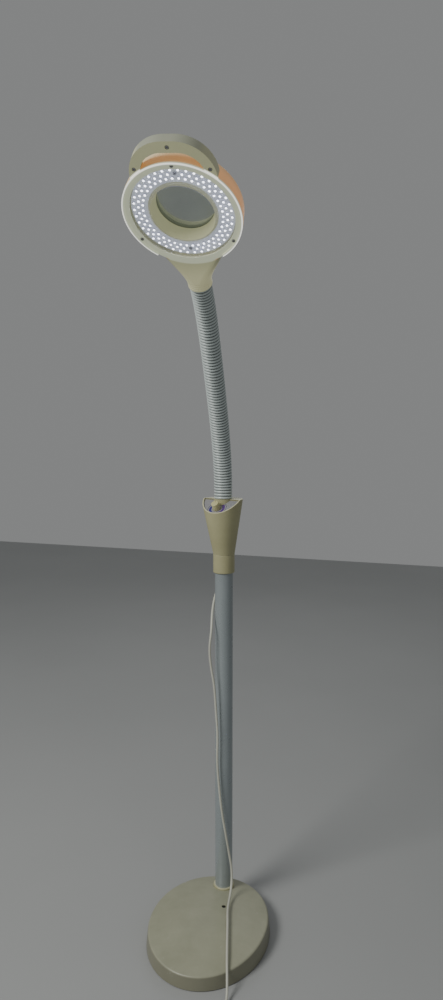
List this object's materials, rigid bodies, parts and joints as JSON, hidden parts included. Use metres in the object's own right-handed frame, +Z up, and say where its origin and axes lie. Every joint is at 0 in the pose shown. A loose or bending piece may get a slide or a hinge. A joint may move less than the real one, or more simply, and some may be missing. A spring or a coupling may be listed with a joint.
{
  "type": "floor-standing examination lamp",
  "caption": "Floor-standing examination lamp: weighted oval base, steel pole, dimmer box, bendable gooseneck and round lighted lens head with a carry handle.",
  "frame": {"origin": "centre of the oval base on the floor", "axes": "+Z up; -Y the front of the base, the side the head leans over; the pole stands behind the centre"},
  "size_m": [0.356, 0.5438, 1.4416],
  "materials": {
    "cream_housing": "satin, lightly textured moulding",
    "base_weight": "rough casting",
    "base_pad": "matte",
    "screws": "plated",
    "pole": "smooth grey enamel",
    "pole_fittings": "moulded",
    "sleeve": "ribbed, glossy crests",
    "core": "machined",
    "panel": "brushed, printed dial arcs",
    "knob": "fluted",
    "circuit_board": "solder mask",
    "board_parts": "moulded",
    "led": "clear dome, lit",
    "led_cover": "clear",
    "lens": "polished",
    "cord": "smooth white sheath",
    "plug": "moulded",
    "plug_pins": "plated"
  },
  "bodies": {
    "stand": {"base_cover": "cream_housing", "base_weight": "base_weight", "base_pad": "base_pad", "cover_screw": "screws", "pole_ring": "cream_housing", "pole": "pole", "pole_plug": "pole_fittings", "pole_bolt": "screws", "collar": "cream_housing", "collar_screw": "screws", "box_shell": "cream_housing", "control_panel": "panel", "dimmer": "board_parts", "neck_nut": "screws", "driver_board": "circuit_board", "driver_parts": "board_parts", "cord_gland": "cord", "neck_fitting": "core", "sleeve_lower": "sleeve", "power_cord": "cord", "cord_coil": "cord", "plug": "plug", "plug_pins": "plug_pins"},
    "dial": {"knob": "knob", "dimmer_shaft": "core"},
    "link_01": {"core_01": "core", "sleeve_01": "sleeve"},
    "link_02": {"core_02": "core", "sleeve_02": "sleeve"},
    "link_03": {"core_03": "core", "sleeve_03": "sleeve"},
    "link_04": {"core_04": "core", "sleeve_04": "sleeve"},
    "link_05": {"core_05": "core", "sleeve_05": "sleeve"},
    "link_06": {"core_06": "core", "sleeve_06": "sleeve"},
    "link_07": {"core_07": "core", "sleeve_07": "sleeve"},
    "link_08": {"core_08": "core", "sleeve_08": "sleeve"},
    "link_09": {"core_09": "core", "sleeve_09": "sleeve"},
    "link_10": {"core_10": "core", "sleeve_10": "sleeve"},
    "link_11": {"core_11": "core", "sleeve_11": "sleeve"},
    "link_12": {"core_12": "core", "sleeve_12": "sleeve"},
    "head": {"head_fitting": "core", "sleeve_upper": "sleeve", "head_front": "cream_housing", "head_back": "cream_housing", "led_board": "circuit_board", "leds": "led", "led_cover": "led_cover", "lens": "lens", "lens_ring": "cream_housing", "head_screws": "screws", "board_screws": "screws"}
  },
  "joints": [
    {"name": "dimmer_turn", "type": "hinge", "parent": "stand", "child": "dial", "pos_m": [-0.00641, 0.0781, 0.88387], "axis": [0.1303, 0.5875, -0.7986], "range_deg": [0, 270]},
    {"name": "bend_1", "type": "hinge", "parent": "stand", "child": "link_01", "pos_m": [-0.00065, 0.10407, 0.91454], "axis": [0.99, 0.1409, 0], "range_deg": [-7, 7]},
    {"name": "sway_1", "type": "hinge", "parent": "link_01", "child": "link_02", "pos_m": [-0.00008, 0.10006, 0.95187], "axis": [-0.1376, 0.9669, 0.2147], "range_deg": [-7, 7]},
    {"name": "bend_2", "type": "hinge", "parent": "link_02", "child": "link_03", "pos_m": [0.00146, 0.08923, 0.98782], "axis": [0.99, 0.1409, 0], "range_deg": [-7, 7]},
    {"name": "sway_2", "type": "hinge", "parent": "link_03", "child": "link_04", "pos_m": [0.00366, 0.07376, 1.02202], "axis": [-0.1248, 0.8767, 0.4646], "range_deg": [-7, 7]},
    {"name": "bend_3", "type": "hinge", "parent": "link_04", "child": "link_05", "pos_m": [0.00629, 0.05531, 1.05469], "axis": [0.99, 0.1409, 0], "range_deg": [-7, 7]},
    {"name": "sway_3", "type": "hinge", "parent": "link_05", "child": "link_06", "pos_m": [0.00918, 0.03504, 1.08625], "axis": [-0.1165, 0.8187, 0.5622], "range_deg": [-7, 7]},
    {"name": "bend_4", "type": "hinge", "parent": "link_06", "child": "link_07", "pos_m": [0.01221, 0.01371, 1.11709], "axis": [0.99, 0.1409, 0], "range_deg": [-7, 7]},
    {"name": "sway_4", "type": "hinge", "parent": "link_07", "child": "link_08", "pos_m": [0.01534, -0.00828, 1.14745], "axis": [-0.113, 0.7938, 0.5976], "range_deg": [-7, 7]},
    {"name": "bend_5", "type": "hinge", "parent": "link_08", "child": "link_09", "pos_m": [0.01855, -0.03085, 1.17737], "axis": [0.99, 0.1409, 0], "range_deg": [-7, 7]},
    {"name": "sway_5", "type": "hinge", "parent": "link_09", "child": "link_10", "pos_m": [0.02188, -0.05423, 1.20666], "axis": [-0.1082, 0.76, 0.6409], "range_deg": [-7, 7]},
    {"name": "bend_6", "type": "hinge", "parent": "link_10", "child": "link_11", "pos_m": [0.02539, -0.07891, 1.23483], "axis": [0.99, 0.1409, 0], "range_deg": [-7, 7]},
    {"name": "sway_6", "type": "hinge", "parent": "link_11", "child": "link_12", "pos_m": [0.02919, -0.10559, 1.26106], "axis": [-0.0936, 0.6574, 0.7477], "range_deg": [-7, 7]},
    {"name": "bend_7", "type": "hinge", "parent": "link_12", "child": "head", "pos_m": [0.03338, -0.13502, 1.28406], "axis": [0.99, 0.1409, 0], "range_deg": [-7, 7]}
  ]
}
